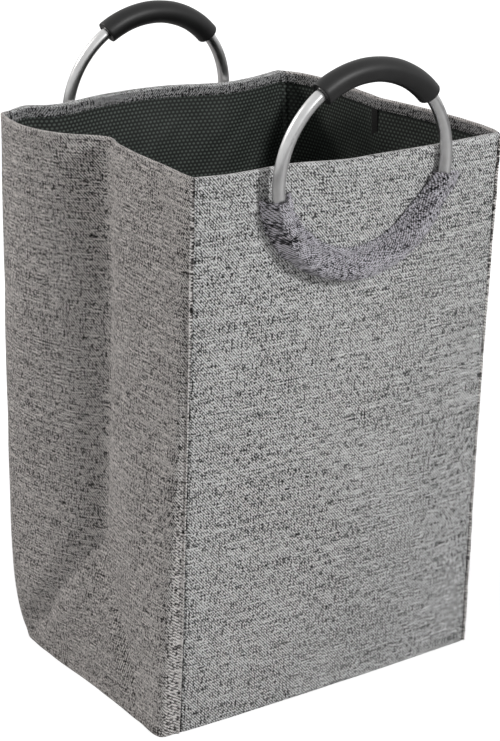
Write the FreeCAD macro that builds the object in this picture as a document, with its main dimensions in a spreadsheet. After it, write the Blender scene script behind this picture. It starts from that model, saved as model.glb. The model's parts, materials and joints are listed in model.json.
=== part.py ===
"""Fabric laundry hamper with two ring handles, millimetres, +Z up.

The hamper is a fold-flat bag: two stiff panels (front at -Y, back at +Y), two soft gussets between
them and a base board that is split along its middle. The origin is on the floor, under the middle of
the base. Every size lives in the spreadsheet "Dims".
"""
import FreeCAD, Part
import os
import Sketcher

doc = FreeCAD.newDocument("laundry_hamper")

# ---------------------------------------------------------------------------------------------
# Driving dimensions
# ---------------------------------------------------------------------------------------------
DIMENSIONS = [
    # shell
    ("body_height", 600, "floor to rim"),
    ("rim_width", 380, "across the rim at its corners, along X"),
    ("base_spread", 12, "how far the base's sides stand out past the rim's"),
    ("seam_inset", 7, "rim's corner to the side seam of the front and back panels"),
    ("front_base_reach", 148, "middle of the base to the front panel's lower edge"),
    ("front_rim_reach", 187, "middle to the front panel's rim at its corners"),
    ("back_base_reach", 148, "middle of the base to the back panel's lower edge"),
    ("back_rim_reach", 184, "middle to the back panel's rim at its corners"),
    ("base_bow", 3, "how far a panel bows outwards at the base"),
    ("front_rim_bow", 12, "how far the front panel bows outwards at the rim"),
    ("back_rim_bow", 3, "how far the back panel bows outwards at the rim"),
    # plies, from the outside in
    ("cloth_ply", 1.6, "outer cloth"),
    ("board_ply", 2.5, "stiffener board"),
    ("lining_ply", 1.0, "lining"),
    ("hem_ply", 1.2, "turned hem inside the rim"),
    ("hem_width", 13, "height of the hem band"),
    ("ply_gap", 0.1, "air between two plies that are sewn together"),
    ("body_gap", 0.3, "air between pieces that move apart"),
    ("edge_margin", 6, "board edge to the panel's side seams"),
    ("rim_margin", 2, "board's and lining's upper edge below the rim"),
    ("floor_margin", 1.5, "board's and lining's lower edge above the floor"),
    # gussets
    ("corner_cut", 3, "cut across the upright corners"),
    ("fold_height", 167, "height at which the gusset's middle fold forks to the base corners"),
    ("fold_share", 0.6, "part of the rim's swell that the gusset has at the fork"),
    ("fold_offset", 5, "gusset's middle fold, behind the middle of the hamper"),
    ("left_front_swell", -13, "left gusset, front half, outwards at the rim"),
    ("left_middle_swell", -24, "left gusset, middle fold, outwards at the rim"),
    ("left_back_swell", 15, "left gusset, back half, outwards at the rim"),
    ("right_front_swell", 8, "right gusset, front half, outwards at the rim"),
    ("right_middle_swell", 1, "right gusset, middle fold, outwards at the rim"),
    ("right_back_swell", 12, "right gusset, back half, outwards at the rim"),
    ("tape_width", 16, "webbing tape over the middle fold"),
    ("tape_ply", 0.9, "webbing tape"),
    # base
    ("cover_ply", 1.6, "cloth under the base board"),
    ("base_board_ply", 3.0, "base board"),
    ("split_gap", 0.6, "slit between the two halves of the base"),
    # ring handles
    ("ring_radius", 103, "ring handle, middle of the tube"),
    ("tube_diameter", 13, "ring handle's tube"),
    ("tube_wall", 1.2, "ring handle's tube"),
    ("joint_slit", 0.6, "slit where the tube's two ends meet"),
    ("joiner_length", 60, "spigot inside the tube's ends"),
    ("joiner_gap", 0.2, "spigot to the tube's bore"),
    ("handle_drop", 14, "rim to the middle of the ring"),
    ("ring_gap", 0.6, "tube to the panel, where they are nearest"),
    ("back_lean", 7, "degrees, back ring, top towards the front"),
    ("grip_diameter", 25, "foam grip"),
    ("grip_start", 43, "degrees round the ring from +X"),
    ("grip_sweep", 81, "degrees of the ring that the grip covers"),
    ("grip_gap", 0.3, "grip's bore to the tube"),
    # handle sleeves
    ("sleeve_ply", 1.2, "handle sleeve's cloth"),
    ("sleeve_gap", 0.5, "tube to the sleeve's crown"),
    ("sleeve_room", 3, "tube to the sleeve's outer seam, across"),
    ("sleeve_inner_room", 16, "tube to the sleeve's inner seam, across"),
    ("sleeve_sweep", 164, "degrees of the ring inside the sleeve"),
    ("sleeve_shoulder", 5, "cut across the sleeve's crown"),
    ("sleeve_side", 2, "height at which the sleeve's crown begins, above the ring's plane"),
    ("sleeve_depth", 70, "length of the sleeve's walls before they are trimmed to the panel"),
]

sheet = doc.addObject("Spreadsheet::Sheet", "Dims")
for row, (alias, number, meaning) in enumerate(DIMENSIONS, start=1):
    sheet.set("A%d" % row, alias)
    sheet.set("B%d" % row, str(number))
    sheet.set("C%d" % row, meaning)
    sheet.setAlias("B%d" % row, alias)
doc.recompute()

nodes = []


BASE_WIDTH = "(Dims.rim_width + 2 * Dims.base_spread)"
PANEL_WIDTH = "(Dims.rim_width - 2 * Dims.seam_inset)"
HANDLE_HEIGHT = "(Dims.body_height - Dims.handle_drop)"


def worth(expression):
    """The number that an expression over the sheet gives."""
    return float(sheet.evalExpression(expression))


def size(alias):
    """The number in one named cell."""
    return worth("Dims." + alias)


def keep(piece, label):
    """Name a finished sub-part and put it on the list of files."""
    piece.Label = label
    nodes.append(piece)
    return piece


# ---------------------------------------------------------------------------------------------
# Sketches with every point bound to the sheet
# ---------------------------------------------------------------------------------------------
def new_body(name):
    return doc.addObject("PartDesign::Body", name)


def new_sketch(body, name, role, height=None):
    """A sketch on one of the body's own planes, raised by an expression."""
    sketch = body.newObject("Sketcher::SketchObject", name)
    plane = next(feature for feature in body.Origin.OriginFeatures if feature.Role == role)
    sketch.AttachmentSupport = [(plane, "")]
    sketch.MapMode = "FlatFace"
    if height is not None:
        sketch.setExpression("AttachmentOffset.Base.z", height)
    return sketch


def bind(sketch, kind, geometry, *points, expression):
    """Add one measured constraint and tie it to an expression."""
    number = sketch.addConstraint(Sketcher.Constraint(kind, geometry, *points, worth(expression)))
    sketch.setExpression("Constraints[%d]" % number, expression)


def pin(sketch, edge, end, across, along):
    """Hold one end of an edge at a place given by two expressions."""
    bind(sketch, "DistanceX", -1, 1, edge, end, expression=across)
    bind(sketch, "DistanceY", -1, 1, edge, end, expression=along)


def join_edges(sketch, edge, end, next_edge, next_end):
    sketch.addConstraint(Sketcher.Constraint("Coincident", edge, end, next_edge, next_end))


def draw_polygon(sketch, corners):
    """A closed outline through corners, each a pair of expressions."""
    places = [FreeCAD.Vector(worth(across), worth(along), 0) for across, along in corners]
    count = len(places)
    for index in range(count):
        sketch.addGeometry(Part.LineSegment(places[index], places[(index + 1) % count]), False)
    for index in range(count):
        join_edges(sketch, index, 2, (index + 1) % count, 1)
    for index, (across, along) in enumerate(corners):
        pin(sketch, index, 1, across, along)


def draw_bowed_strip(sketch, half_width, outer, inner, bow):
    """A strip across X whose two long edges bow towards -Y."""
    wide, bulge = worth(half_width), worth(bow)
    radius = "((%s)^2 + (%s)^2) / (2 * (%s))" % (half_width, bow, bow)
    ends = {}
    for edge, reach in ((0, outer), (2, inner)):
        lane = -worth(reach)
        ends[edge] = (FreeCAD.Vector(-wide, lane, 0), FreeCAD.Vector(wide, lane, 0))
        sketch.addGeometry(Part.Arc(ends[edge][0], FreeCAD.Vector(0, lane - bulge, 0), ends[edge][1]), False)
        if edge == 0:
            right = FreeCAD.Vector(wide, -worth(inner), 0)
            sketch.addGeometry(Part.LineSegment(ends[0][1], right), False)
    sketch.addGeometry(Part.LineSegment(ends[2][0], ends[0][0]), False)
    join_edges(sketch, 0, 2, 1, 1)
    join_edges(sketch, 1, 2, 2, 2)
    join_edges(sketch, 2, 1, 3, 1)
    join_edges(sketch, 3, 2, 0, 1)
    pin(sketch, 0, 1, "-(%s)" % half_width, "-(%s)" % outer)
    pin(sketch, 0, 2, half_width, "-(%s)" % outer)
    pin(sketch, 2, 1, "-(%s)" % half_width, "-(%s)" % inner)
    pin(sketch, 2, 2, half_width, "-(%s)" % inner)
    bind(sketch, "Radius", 0, expression=radius)
    bind(sketch, "Radius", 2, expression=radius)


# ---------------------------------------------------------------------------------------------
# Front and back panels: plies lofted from the base line to the rim
# ---------------------------------------------------------------------------------------------
HALF_TURN = {"front": 0, "back": 180}


def reach_at(face, level, setback):
    """Middle of the hamper to a ply's outer side at a height, at the panel's side seams."""
    return ("Dims.{f}_base_reach + (Dims.{f}_rim_reach - Dims.{f}_base_reach) * ({l}) / Dims.body_height"
            " - ({s})").format(f=face, l=level, s=setback)


def bow_at(face, level):
    return ("(Dims.base_bow + (Dims.{f}_rim_bow - Dims.base_bow) * ({l}) / Dims.body_height)"
            ).format(f=face, l=level)


def panel_ply(name, face, setback, ply, low, high, side_margin="0"):
    """One ply of a stiff panel. It is drawn at the front, and a back one is turned half round.

    A ply that stops short of the side seams keeps to the full panel's arc.
    """
    body = new_body(name)
    half_width = "(%s / 2 - (%s))" % (PANEL_WIDTH, side_margin)
    sketches = []
    for end, level in (("low", low), ("high", high)):
        sketch = new_sketch(body, "%s_%s" % (name, end), "XY_Plane", level)
        full_bow = bow_at(face, level)
        radius = "((%s^2 / 4 + %s^2) / (2 * %s))" % (PANEL_WIDTH, full_bow, full_bow)
        bow = "(%s - sqrt(%s^2 - %s^2))" % (radius, radius, half_width)
        drop = "(%s - %s)" % (full_bow, bow)
        draw_bowed_strip(sketch, half_width, reach_at(face, level, setback) + " + " + drop,
                         reach_at(face, level, "(%s) + (%s)" % (setback, ply)) + " + " + drop, bow)
        sketches.append(sketch)
    loft = body.newObject("PartDesign::AdditiveLoft", name + "_loft")
    loft.Profile = sketches[0]
    loft.Sections = [sketches[1]]
    loft.Ruled = True
    body.Placement = FreeCAD.Placement(FreeCAD.Vector(), FreeCAD.Vector(0, 0, 1), HALF_TURN[face])
    return body


BOARD_SETBACK = "Dims.cloth_ply + Dims.ply_gap"
LINING_SETBACK = BOARD_SETBACK + " + Dims.board_ply + Dims.ply_gap"
HEM_SETBACK = LINING_SETBACK + " + Dims.lining_ply + Dims.ply_gap"
RIM = "Dims.body_height"
HEM_EDGE = "Dims.body_height - Dims.hem_width"

for face in ("front", "back"):
    keep(panel_ply(face + "_cloth_ply", face, "0", "Dims.cloth_ply", "0", RIM), face + "_panel")
    keep(panel_ply(face + "_board_ply", face, BOARD_SETBACK, "Dims.board_ply", "Dims.floor_margin",
                   "Dims.body_height - Dims.rim_margin", "Dims.edge_margin"), face + "_stiffener_board")
    keep(panel_ply(face + "_lining_ply", face, LINING_SETBACK, "Dims.lining_ply", "Dims.floor_margin",
                   "Dims.body_height - Dims.rim_margin"), face + "_lining")
    keep(panel_ply(face + "_hem_ply", face, HEM_SETBACK, "Dims.hem_ply", HEM_EDGE, RIM), face + "_hem")


# ---------------------------------------------------------------------------------------------
# Gussets: folded plies, each a ruled loft through a base, a fork and a rim section
# ---------------------------------------------------------------------------------------------
def between(low, high, share):
    return low + (high - low) * share


def reference_line(side, level, swell, depth):
    """A ply's line in plan at the base, the fork or the rim, front seam to back seam, for +X."""
    share = level / size("body_height")
    seam = worth(PANEL_WIDTH) / 2 + size("body_gap")
    half = between(worth(BASE_WIDTH), size("rim_width"), share) / 2
    front = between(size("front_base_reach"), size("front_rim_reach"), share)
    back = between(size("back_base_reach"), size("back_rim_reach"), share)
    cut = size("corner_cut")
    corners = [
        (seam, -front),
        (half - cut, -front),
        (half, cut - front),
        (half + size(side + "_front_swell") * swell, -front / 2),
        (half + size(side + "_middle_swell") * swell, size("fold_offset")),
        (half + size(side + "_back_swell") * swell, back / 2),
        (half, back - cut),
        (half - cut, back),
        (seam, back),
    ]
    return set_in([FreeCAD.Vector(across, along, level) for across, along in corners], depth)


def gusset_line(side, level, depth):
    """A ply's line at any height, on the straight threads between two reference lines."""
    stages = [(0, 0), (size("fold_height"), size("fold_share")), (size("body_height"), 1)]
    low, high = stages[:2] if level <= size("fold_height") else stages[1:]
    under = reference_line(side, low[0], low[1], depth)
    over = reference_line(side, high[0], high[1], depth)
    share = (level - low[0]) / (high[0] - low[0])
    return [between(start, end, share) for start, end in zip(under, over)]


def set_in(corners, depth):
    """Move an open line inwards (to its left) by depth, keeping its number of corners."""
    normals = []
    for start, end in zip(corners, corners[1:]):
        run = (end - start).normalize()
        normals.append(FreeCAD.Vector(-run.y, run.x, 0))
    moved = []
    for index, corner in enumerate(corners):
        before = normals[max(index - 1, 0)]
        after = normals[min(index, len(normals) - 1)]
        moved.append(corner + (before + after) * (depth / (1 + before.dot(after))))
    return moved


def gusset_solid(side, setback, ply, low, high):
    """The solid between two lines of one gusset, from one height to another."""
    outer, inner = worth(setback), worth(setback) + worth(ply)
    levels = [worth(low), worth(high)]
    if levels[0] < size("fold_height") < levels[1]:
        levels.insert(1, size("fold_height"))
    rings = []
    for level in levels:
        loop = gusset_line(side, level, outer) + gusset_line(side, level, inner)[::-1]
        if side == "left":
            loop = [FreeCAD.Vector(-corner.x, corner.y, corner.z) for corner in loop]
        rings.append(Part.makePolygon(loop + loop[:1]))
    solid = Part.makeLoft(rings, True, True)
    if solid.Volume < 0:
        solid.reverse()
    return solid


def gusset_ply(name, side, setback, ply, low, high):
    piece = doc.addObject("Part::Feature", name)
    piece.Shape = gusset_solid(side, setback, ply, low, high)
    piece.Placement = FreeCAD.Placement()
    return piece


GUSSET_LINING = "Dims.cloth_ply + Dims.ply_gap"
GUSSET_INSIDE = GUSSET_LINING + " + Dims.lining_ply + Dims.ply_gap"

for side, sign in (("left", -1), ("right", 1)):
    keep(gusset_ply(side + "_cloth_ply", side, "0", "Dims.cloth_ply", "0", RIM), side + "_gusset")
    keep(gusset_ply(side + "_lining_ply", side, GUSSET_LINING, "Dims.lining_ply", "Dims.floor_margin",
                    "Dims.body_height - Dims.rim_margin"), side + "_gusset_lining")
    keep(gusset_ply(side + "_hem_ply", side, GUSSET_INSIDE, "Dims.hem_ply", HEM_EDGE, RIM),
         side + "_hem")
    # the webbing tape lies on the lining, just behind the middle fold, under the hem
    web = gusset_ply(side + "_web_ply", side, GUSSET_INSIDE, "Dims.tape_ply", "Dims.fold_height",
                     HEM_EDGE + " - Dims.body_gap")
    window = doc.addObject("Part::Box", side + "_tape_window")
    window.setExpression("Length", BASE_WIDTH)
    window.setExpression("Width", "Dims.tape_width")
    window.setExpression("Height", "Dims.body_height")
    window.setExpression("Placement.Base.x", "-" + BASE_WIDTH if sign < 0 else "0")
    window.setExpression("Placement.Base.y", "Dims.fold_offset + Dims.body_gap")
    tape = doc.addObject("Part::Common", side + "_tape")
    tape.Base = web
    tape.Tool = window
    keep(tape, side + "_gusset_tape")


# ---------------------------------------------------------------------------------------------
# Base: two halves that fold up along the middle, each cloth, board and lining
# ---------------------------------------------------------------------------------------------
BASE_BOARD_UNDER = "Dims.cover_ply + Dims.ply_gap"
BASE_LINING_UNDER = BASE_BOARD_UNDER + " + Dims.base_board_ply + Dims.ply_gap"
BASE_TOP = "(" + BASE_LINING_UNDER + " + Dims.lining_ply)"
# The gussets lean in from the floor up, so the base stops short of them by what they lean at its top.
GUSSET_LEAN_IN = ("(Dims.fold_share * abs(Dims.left_middle_swell) / Dims.fold_height"
                  " + Dims.base_spread / Dims.body_height)")
HALF_BASE = (BASE_WIDTH + " / 2 - Dims.cloth_ply - Dims.lining_ply - 2 * Dims.ply_gap"
             " - Dims.body_gap - " + BASE_TOP + " * " + GUSSET_LEAN_IN)
BASE_END = "Dims.{f}_base_reach - (" + LINING_SETBACK + ") - Dims.lining_ply - Dims.body_gap"


def base_ply(name, face, under, ply):
    """A flat half of the base, drawn at the front and turned half round for the back."""
    body = new_body(name)
    sketch = new_sketch(body, name + "_outline", "XY_Plane", under)
    near = "-(Dims.split_gap / 2)"
    far = "-(%s)" % BASE_END.format(f=face)
    draw_polygon(sketch, [("-(%s)" % HALF_BASE, far), (HALF_BASE, far), (HALF_BASE, near),
                          ("-(%s)" % HALF_BASE, near)])
    pad = body.newObject("PartDesign::Pad", name + "_pad")
    pad.Profile = sketch
    pad.setExpression("Length", ply)
    body.Placement = FreeCAD.Placement(FreeCAD.Vector(), FreeCAD.Vector(0, 0, 1), HALF_TURN[face])
    return body


for face, end in (("front", "front"), ("back", "rear")):
    keep(base_ply(end + "_cover_ply", face, "0", "Dims.cover_ply"), "base_cover_" + end)
    keep(base_ply(end + "_base_ply", face, BASE_BOARD_UNDER, "Dims.base_board_ply"),
         "base_board_" + end)
    keep(base_ply(end + "_floor_ply", face, BASE_LINING_UNDER, "Dims.lining_ply"),
         "base_lining_" + end)


# ---------------------------------------------------------------------------------------------
# Ring handles: a bent tube, its spigot, a foam grip and the cloth sleeve that it slides in
# ---------------------------------------------------------------------------------------------
# The front ring hangs flat, its plane along the panel's flare and clear of the panel's full bow.
# The back ring flops over the rim, so its plane clears the panel where the tube passes the rim.
LEG_SHARE = "(1 - (2 * Dims.ring_radius / " + PANEL_WIDTH + ")^2)"
FRONT_FLARE = "(Dims.front_rim_reach - Dims.front_base_reach) / Dims.body_height"
RING_LEAN = {"front": "atan(" + FRONT_FLARE + ") / 1 deg", "back": "Dims.back_lean"}
RING_LANE = {
    "front": "-(Dims.front_rim_reach - Dims.handle_drop * " + FRONT_FLARE
             + " + Dims.front_rim_bow + Dims.tube_diameter / 2 + Dims.ring_gap)",
    "back": "(Dims.back_rim_reach + Dims.back_rim_bow * " + LEG_SHARE
            + " + Dims.tube_diameter / 2 + Dims.ring_gap + Dims.handle_drop * tan(Dims.back_lean))",
}
TUBE_RADIUS = "Dims.tube_diameter / 2"
BORE_RADIUS = "(Dims.tube_diameter / 2 - Dims.tube_wall)"


def arc_degrees(length):
    """Degrees of the ring that a length along the tube covers."""
    return "(%s) / Dims.ring_radius * 180 / pi" % length


def ring_place(face, turn):
    """Placement of something drawn flat about Z, stood up on the ring's plane after a turn."""
    return ("placement(vector(0; {lane}; {height}); rotation(vector(1; 0; 0); 90 + {lean})"
            " * rotation(vector(0; 0; 1); {turn}))").format(lane=RING_LANE[face], height=HANDLE_HEIGHT,
                                                            lean=RING_LEAN[face], turn=turn)


def bent_rod(name, radius, sweep):
    rod = doc.addObject("Part::Torus", name)
    rod.setExpression("Radius1", "Dims.ring_radius")
    rod.setExpression("Radius2", radius)
    rod.setExpression("Angle3", sweep)
    return rod


def hollow_rod(name, radius, bore, sweep):
    cut = doc.addObject("Part::Cut", name)
    cut.Base = bent_rod(name + "_outside", radius, sweep)
    cut.Tool = bent_rod(name + "_bore", bore, sweep)
    return cut


def ring_handle(face):
    slit = arc_degrees("Dims.joint_slit")
    tube = hollow_rod(face + "_tube", TUBE_RADIUS, BORE_RADIUS, "360 - " + slit)
    tube.setExpression("Placement", ring_place(face, "-90 + %s / 2" % slit))
    keep(tube, face + "_handle_ring")
    length = arc_degrees("Dims.joiner_length")
    spigot = bent_rod(face + "_spigot", BORE_RADIUS + " - Dims.joiner_gap", length)
    spigot.setExpression("Placement", ring_place(face, "-90 - %s / 2" % length))
    keep(spigot, face + "_ring_joiner")
    foam = hollow_rod(face + "_foam", "Dims.grip_diameter / 2", TUBE_RADIUS + " + Dims.grip_gap",
                      "Dims.grip_sweep")
    foam.setExpression("Placement", ring_place(face, "Dims.grip_start"))
    keep(foam, face + "_grip")


def sleeve_section(outward):
    """Outline of the sleeve's wall across the ring: radius from its middle, height off its plane."""
    inner = "Dims.ring_radius - %s - Dims.sleeve_inner_room" % TUBE_RADIUS
    outer = "Dims.ring_radius + %s + Dims.sleeve_room + Dims.sleeve_ply" % TUBE_RADIUS
    crown = "%s + Dims.sleeve_gap + Dims.sleeve_ply" % TUBE_RADIUS
    foot, shoulder, wall = "-Dims.sleeve_depth", "Dims.sleeve_shoulder", "Dims.sleeve_ply"
    side = "Dims.sleeve_side"
    outside = [(inner, foot), (inner, side), (inner + " + " + shoulder, crown),
               (outer + " - " + shoulder, crown), (outer, side), (outer, foot)]
    inside = [(outer + " - " + wall, foot), (outer + " - " + wall, side),
              (outer + " - " + shoulder + " - " + wall, crown + " - " + wall),
              (inner + " + " + shoulder + " + " + wall, crown + " - " + wall),
              (inner + " + " + wall, side), (inner + " + " + wall, foot)]
    return [(radius, "%s * (%s)" % (outward, height)) for radius, height in outside + inside]


def handle_sleeve(face, outward):
    """The half-round cloth tunnel under a ring, trimmed to the panel that it is sewn to."""
    body = new_body(face + "_tunnel")
    sketch = new_sketch(body, face + "_tunnel_section", "XZ_Plane")
    draw_polygon(sketch, sleeve_section(outward))
    turned = body.newObject("PartDesign::Revolution", face + "_tunnel_turn")
    turned.Profile = sketch
    turned.ReferenceAxis = (sketch, ["V_Axis"])
    turned.setExpression("Angle", "Dims.sleeve_sweep")
    turned.Midplane = True
    body.setExpression("Placement", ring_place(face, "-90"))
    behind = panel_ply(face + "_sleeve_trim", face, "-Dims.ply_gap", "Dims.sleeve_depth * 2", "0", RIM)
    sleeve = doc.addObject("Part::Cut", face + "_sleeve")
    sleeve.Base = body
    sleeve.Tool = behind
    keep(sleeve, face + "_handle_sleeve")


for face, outward in (("front", 1), ("back", -1)):
    ring_handle(face)
    handle_sleeve(face, outward)


# ---------------------------------------------------------------------------------------------
# Build, check and write
# ---------------------------------------------------------------------------------------------
doc.recompute()

for item in doc.Objects:
    if "Invalid" in item.State or "Error" in item.State:
        raise RuntimeError("%s did not build: %s" % (item.Label, item.State))

os.makedirs("parts", exist_ok=True)
for node in nodes:
    shape = node.Shape
    if shape.isNull() or not shape.isValid() or not shape.Solids:
        raise RuntimeError("%s has no valid solid" % node.Label)
    shape.exportStep("parts/%s.step" % node.Label)
    box = shape.BoundBox
    print("%-24s solids %d  volume %10.1f  x %7.1f..%6.1f  y %7.1f..%6.1f  z %6.1f..%6.1f" % (
        node.Label, len(shape.Solids), shape.Volume, box.XMin, box.XMax, box.YMin, box.YMax,
        box.ZMin, box.ZMax))
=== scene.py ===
import json
import math
from functools import lru_cache

import bmesh
import bpy
from mathutils import Matrix, Vector, noise


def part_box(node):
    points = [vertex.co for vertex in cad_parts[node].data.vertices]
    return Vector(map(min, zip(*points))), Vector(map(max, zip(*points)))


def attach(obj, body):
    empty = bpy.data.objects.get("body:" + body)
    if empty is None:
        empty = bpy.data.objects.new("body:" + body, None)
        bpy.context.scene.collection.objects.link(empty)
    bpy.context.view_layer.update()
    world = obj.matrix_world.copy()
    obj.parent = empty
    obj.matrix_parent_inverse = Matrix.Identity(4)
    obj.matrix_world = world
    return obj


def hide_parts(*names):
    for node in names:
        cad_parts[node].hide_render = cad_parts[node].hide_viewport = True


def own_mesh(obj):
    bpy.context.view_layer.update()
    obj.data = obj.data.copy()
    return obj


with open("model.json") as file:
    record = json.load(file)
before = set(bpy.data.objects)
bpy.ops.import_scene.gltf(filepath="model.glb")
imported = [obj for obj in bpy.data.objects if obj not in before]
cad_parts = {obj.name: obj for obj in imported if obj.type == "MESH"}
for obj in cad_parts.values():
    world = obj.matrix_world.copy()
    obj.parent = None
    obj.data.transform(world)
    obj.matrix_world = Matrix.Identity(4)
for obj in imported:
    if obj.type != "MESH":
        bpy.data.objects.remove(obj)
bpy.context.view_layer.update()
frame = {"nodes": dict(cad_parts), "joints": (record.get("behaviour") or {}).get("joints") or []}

# ---------------------------------------------------------------------------------------------
# Sizes, in metres, taken from the frame
# ---------------------------------------------------------------------------------------------
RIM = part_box("front_panel")[1].z
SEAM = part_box("front_panel")[1].x
JOINTS = {joint["name"]: joint for joint in frame["joints"]}
BASE_HINGE = Vector(JOINTS["base_fold"]["pos_m"])
RINGS = {
    "front": JOINTS["front_handle_turn"],
    "back": JOINTS["back_handle_turn"],
}
TUBE_RADIUS = 0.0065
RING_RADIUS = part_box("front_handle_ring")[1].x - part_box("front_handle_ring")[0].x
RING_RADIUS = RING_RADIUS / 2 - TUBE_RADIUS
GRIP_RADIUS = 0.0125
GRIP_ARC = (math.radians(43), math.radians(124))
SLEEVE_ARC = (math.radians(-172), math.radians(-8))
HEM_DEPTH = 0.013
HEM_STAND = 0.0006
LINING_FOOT = 0.005


# ---------------------------------------------------------------------------------------------
# Curves
# ---------------------------------------------------------------------------------------------
def lerp(start, end, share):
    return start + (end - start) * share


def clamp(value, low=0.0, high=1.0):
    return min(max(value, low), high)


def ease(share):
    share = clamp(share)
    return share * share * (3 - 2 * share)


def bell(distance, width):
    return math.exp(-(distance / width) ** 2)


def ripple(across, up, across_size, up_size, seed):
    """Smooth unevenness from -1 to 1, with its own size across and up."""
    return noise.noise(Vector((across / across_size, up / up_size, seed)))


def through(knots, values, at):
    """A smooth curve through values (numbers or vectors) held at rising knots."""
    last = len(knots) - 2
    index = 0
    while index < last and at > knots[index + 1]:
        index += 1
    span = knots[index + 1] - knots[index]
    share = (at - knots[index]) / span
    slopes = []
    for knot in (index, index + 1):
        left, right = max(knot - 1, 0), min(knot + 1, len(knots) - 1)
        slopes.append((values[right] - values[left]) * (span / (knots[right] - knots[left])))
    square, cube = share * share, share ** 3
    return (values[index] * (2 * cube - 3 * square + 1) + slopes[0] * (cube - 2 * square + share)
            + values[index + 1] * (3 * square - 2 * cube) + slopes[1] * (cube - square))


# ---------------------------------------------------------------------------------------------
# The hamper's shape in plan. Each side is walked the same way round, so that cloth faces outwards:
# front left to right, right gusset front to back, back right to left, left gusset back to front.
# ---------------------------------------------------------------------------------------------
REACH = {"front": (0.148, 0.187), "back": (0.148, 0.184)}
RIGHT_SPREAD = 0.0107
BOW = {"front": (0.003, 0.012), "back": (0.003, 0.004)}

GUSSET_STATIONS = [0, 0.06, 0.16, 0.28, 0.41, 0.5, 0.58, 0.69, 0.81, 0.93, 1]
GUSSET_HEIGHTS = [0, 0.03, 0.085, 0.167, 0.40, 0.60]
GUSSET_LINES = {
    "left": [
        [(-.1850, .1480), (-.2000, .1470), (-.2050, .1250), (-.2060, .0830), (-.2060, .0400), (-.2060, .0050),
         (-.2065, -.0260), (-.2075, -.0640), (-.2085, -.1020), (-.2090, -.1440), (-.1850, -.1485)],
        [(-.1852, .1500), (-.2060, .1520), (-.2090, .1260), (-.2085, .0830), (-.2045, .0400), (-.2030, .0050),
         (-.2045, -.0260), (-.2065, -.0640), (-.2075, -.1020), (-.2075, -.1460), (-.1851, -.1505)],
        [(-.1855, .1535), (-.2105, .1570), (-.2130, .1280), (-.2100, .0830), (-.2010, .0400), (-.1955, .0050),
         (-.1990, -.0260), (-.2035, -.0640), (-.2055, -.1030), (-.2045, -.1480), (-.1853, -.1540)],
        [(-.1858, .1590), (-.2095, .1625), (-.2130, .1290), (-.2090, .0850), (-.1990, .0430), (-.1845, .0060),
         (-.1930, -.0250), (-.2010, -.0640), (-.2035, -.1050), (-.2015, -.1510), (-.1855, -.1595)],
        [(-.1860, .1740), (-.2020, .1730), (-.2095, .1370), (-.2085, .0960), (-.1945, .0490), (-.1700, .0080),
         (-.1780, -.0260), (-.1850, -.0700), (-.1890, -.1150), (-.1925, -.1600), (-.1855, -.1745)],
        [(-.1860, .1865), (-.1950, .1790), (-.2040, .1450), (-.2065, .1060), (-.1935, .0600), (-.1650, .0170),
         (-.1705, -.0220), (-.1765, -.0680), (-.1800, -.1200), (-.1845, -.1620), (-.1850, -.1830)],
    ],
    "right": [
        [(.1970, -.1485), (.2035, -.1400), (.2055, -.1200), (.2055, -.0830), (.2050, -.0400), (.2050, .0050),
         (.2050, .0260), (.2055, .0640), (.2055, .1020), (.2010, .1450), (.1850, .1480)],
        [(.1965, -.1505), (.2030, -.1410), (.2055, -.1210), (.2050, -.0830), (.2040, -.0400), (.2035, .0050),
         (.2035, .0260), (.2050, .0640), (.2055, .1020), (.2010, .1460), (.1852, .1500)],
        [(.1955, -.1540), (.2020, -.1430), (.2050, -.1220), (.2045, -.0830), (.2030, -.0400), (.2000, .0050),
         (.2010, .0260), (.2040, .0640), (.2050, .1030), (.2010, .1490), (.1855, .1535)],
        [(.1940, -.1595), (.2005, -.1480), (.2035, -.1230), (.2035, -.0840), (.2000, -.0420), (.1960, .0060),
         (.1975, .0280), (.2020, .0680), (.2045, .1080), (.2000, .1540), (.1858, .1590)],
        [(.1899, -.1745), (.1960, -.1620), (.2000, -.1330), (.2010, -.0920), (.1980, -.0440), (.1935, .0070),
         (.1960, .0380), (.2005, .0800), (.2015, .1250), (.1965, .1640), (.1860, .1740)],
        [(.1863, -.1920), (.1925, -.1760), (.1970, -.1400), (.1975, -.0950), (.1950, -.0450), (.1900, .0080),
         (.1925, .0400), (.1970, .0850), (.1995, .1300), (.1945, .1700), (.1860, .1865)],
    ],
}
FOLD_FORK = 0.167

# How far each panel's rim wanders towards the back, by its place from the left to the right
RIM_WANDER = {
    "front": ([-1, -0.79, -0.5, -0.38, -0.09, 0.13, 0.5, 1],
              [.0060, .0040, .0075, .0075, -.0010, -.0010, -.0030, -.0050]),
    "back": ([-1, -0.86, -0.67, -0.31, 0.1, 0.51, 0.74, 0.96, 1],
             [.0010, .0080, .0000, .0080, .0080, -.0040, .0000, .0090, .0050]),
}


# The panel edges that each gusset is sewn to, where its walk starts and ends
SEWN_TO = {
    "left": (("back", 1), ("front", 0)),
    "right": (("front", 1), ("back", 0)),
}


@lru_cache(maxsize=None)
def gusset_line(side, up):
    rows = [[Vector(point) for point in line] for line in GUSSET_LINES[side]]
    first, last = (side_point(panel, share, up) for panel, share in SEWN_TO[side])
    line = []
    for index, station in enumerate(GUSSET_STATIONS):
        plan = through(GUSSET_HEIGHTS, [row[index] for row in rows], up)
        line.append(Vector((plan.x, plan.y, lerp(first.z, last.z, station) - up)))
    line[0].xy = first.xy
    line[-1].xy = last.xy
    return line


FOLD_LINES = {
    "left": {"middle": 0.50, "reach": (0.37, 0.30), "width": (0.085, 0.070), "depth": 0.0125, "above": 0.0040},
    "right": {"middle": 0.50, "reach": (0.30, 0.37), "width": (0.070, 0.090), "depth": 0.0030, "above": 0.0012},
}


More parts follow.
